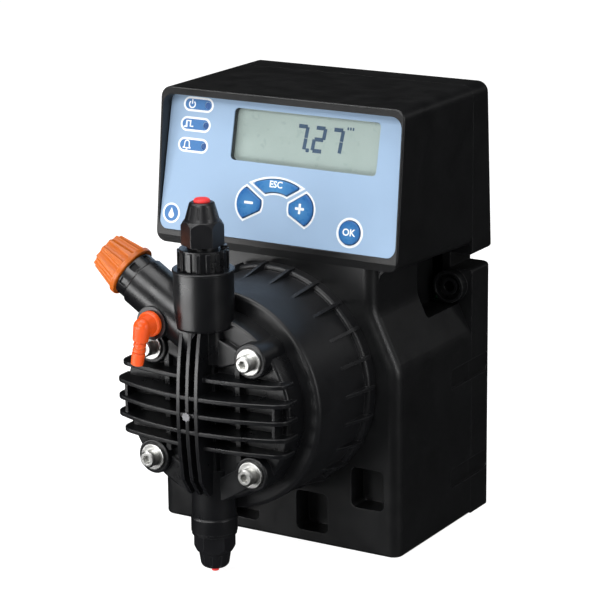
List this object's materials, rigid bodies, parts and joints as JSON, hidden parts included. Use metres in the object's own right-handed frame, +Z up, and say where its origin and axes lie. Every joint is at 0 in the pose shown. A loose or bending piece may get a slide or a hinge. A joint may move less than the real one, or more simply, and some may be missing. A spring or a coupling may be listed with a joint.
{
  "type": "solenoid diaphragm dosing pump",
  "caption": "Solenoid-driven diaphragm dosing pump with tilted blue key panel, finned black pump head, orange bleed knob and drain elbow.",
  "frame": {"origin": "centre of the housing base, on the surface that the pump stands on", "axes": "+Z up, +X to the right as seen from the control panel, -Y out of the front along the pump head"},
  "size_m": [0.13, 0.1693, 0.2016],
  "materials": {
    "housing_black": "satin",
    "head_black": "satin",
    "bracket_black": "satin",
    "carrier_black": "matte",
    "nut_black": "satin",
    "rubber_black": "matte",
    "seal_black": "matte",
    "label_blue": "satin",
    "clear_window": "glossy",
    "lcd_grey": "satin",
    "key_blue": "glossy",
    "circuit_green": "satin",
    "component_black": "satin",
    "lamp_white": "satin",
    "light_pipe": "glossy",
    "bright_steel": "polished",
    "plain_steel": "satin",
    "badge_steel": "satin",
    "brass": "satin",
    "transformer_iron": "matte",
    "terminal_grey": "satin",
    "nylon_white": "satin",
    "copper": "satin",
    "ptfe_white": "satin",
    "ceramic_white": "glossy",
    "knob_orange": "satin",
    "elbow_orange": "satin",
    "plug_red": "satin"
  },
  "bodies": {
    "pump_frame": {"front_housing": "housing_black", "rear_cover": "housing_black", "cover_screws": "bright_steel", "cable_bushings": "rubber_black", "control_panel": "carrier_black", "label_panel": "label_blue", "display_window": "clear_window", "lcd_module": "lcd_grey", "control_board": "circuit_green", "key_switches": "component_black", "status_lamps": "lamp_white", "status_light_pipes": "light_pipe", "control_board_screws": "bright_steel", "power_board": "circuit_green", "power_board_standoffs": "brass", "transformer": "transformer_iron", "capacitors": "component_black", "terminal_block": "terminal_grey", "drive_bracket": "bracket_black", "bracket_screws": "bright_steel", "solenoid_yoke": "plain_steel", "solenoid_end_plate": "plain_steel", "coil_bobbin": "nylon_white", "coil_winding": "copper", "armature_guide_tube": "brass", "pole_piece": "plain_steel", "stop_cap": "nylon_white", "stop_bumper": "rubber_black", "diaphragm": "ptfe_white", "front_bearing": "brass", "pump_head": "head_black", "head_bolts": "bright_steel", "head_washers": "bright_steel", "head_badge": "badge_steel", "discharge_seat": "seal_black", "discharge_valve_body": "head_black", "discharge_tube_nut": "nut_black", "discharge_plug": "plug_red", "suction_valve_body": "head_black", "suction_seat": "seal_black", "suction_tube_nut": "nut_black", "suction_plug": "plug_red", "tube_ferrules": "nylon_white", "bleed_valve_body": "head_black", "bleed_o_ring": "seal_black"},
    "plunger": {"armature": "plain_steel", "push_rod": "bright_steel", "return_spring": "bright_steel", "diaphragm_core": "ptfe_white"},
    "discharge_ball": {"discharge_ball": "ceramic_white"},
    "suction_ball": {"suction_ball": "ceramic_white"},
    "bleed_needle": {"bleed_needle": "nut_black"},
    "bleed_knob": {"bleed_knob": "knob_orange"},
    "drain_elbow": {"drain_elbow": "elbow_orange", "elbow_o_ring": "seal_black"},
    "key_minus": {"key_minus": "key_blue"},
    "key_esc": {"key_esc": "key_blue"},
    "key_plus": {"key_plus": "key_blue"},
    "key_ok": {"key_ok": "key_blue"}
  },
  "joints": [
    {"name": "pump_stroke", "type": "slide", "parent": "pump_frame", "child": "plunger", "axis": [0, -1, 0], "range_m": [0, 0.00125], "stiffness_N_per_m": 2500},
    {"name": "discharge_ball_lift", "type": "slide", "parent": "pump_frame", "child": "discharge_ball", "axis": [0, 0, 1], "range_m": [0, 0.0015]},
    {"name": "suction_ball_lift", "type": "slide", "parent": "pump_frame", "child": "suction_ball", "axis": [0, 0, 1], "range_m": [0, 0.0015]},
    {"name": "bleed_needle_lift", "type": "slide", "parent": "pump_frame", "child": "bleed_needle", "axis": [-0.8434, 0, 0.5373], "range_m": [0, 0.0015]},
    {"name": "bleed_knob_turn", "type": "hinge", "parent": "bleed_needle", "child": "bleed_knob", "pos_m": [-0.03652, -0.1005, 0.13267], "axis": [-0.8434, 0, 0.5373], "range_deg": [0, 360]},
    {"name": "drain_elbow_swivel", "type": "hinge", "parent": "pump_frame", "child": "drain_elbow", "pos_m": [-0.019, -0.113, 0.1153], "axis": [0, -1, 0], "range_deg": [-120, 120]},
    {"name": "key_minus_press", "type": "slide", "parent": "pump_frame", "child": "key_minus", "axis": [0, 0.9756, -0.2195], "range_m": [0, 0.0005], "stiffness_N_per_m": 1800},
    {"name": "key_esc_press", "type": "slide", "parent": "pump_frame", "child": "key_esc", "axis": [0, 0.9756, -0.2195], "range_m": [0, 0.0005], "stiffness_N_per_m": 1800},
    {"name": "key_plus_press", "type": "slide", "parent": "pump_frame", "child": "key_plus", "axis": [0, 0.9756, -0.2195], "range_m": [0, 0.0005], "stiffness_N_per_m": 1800},
    {"name": "key_ok_press", "type": "slide", "parent": "pump_frame", "child": "key_ok", "axis": [0, 0.9756, -0.2195], "range_m": [0, 0.0005], "stiffness_N_per_m": 1800}
  ],
  "couplings": [
    {"joint": "bleed_knob_turn", "follows": "bleed_needle_lift", "rad_per_m": 4188}
  ]
}
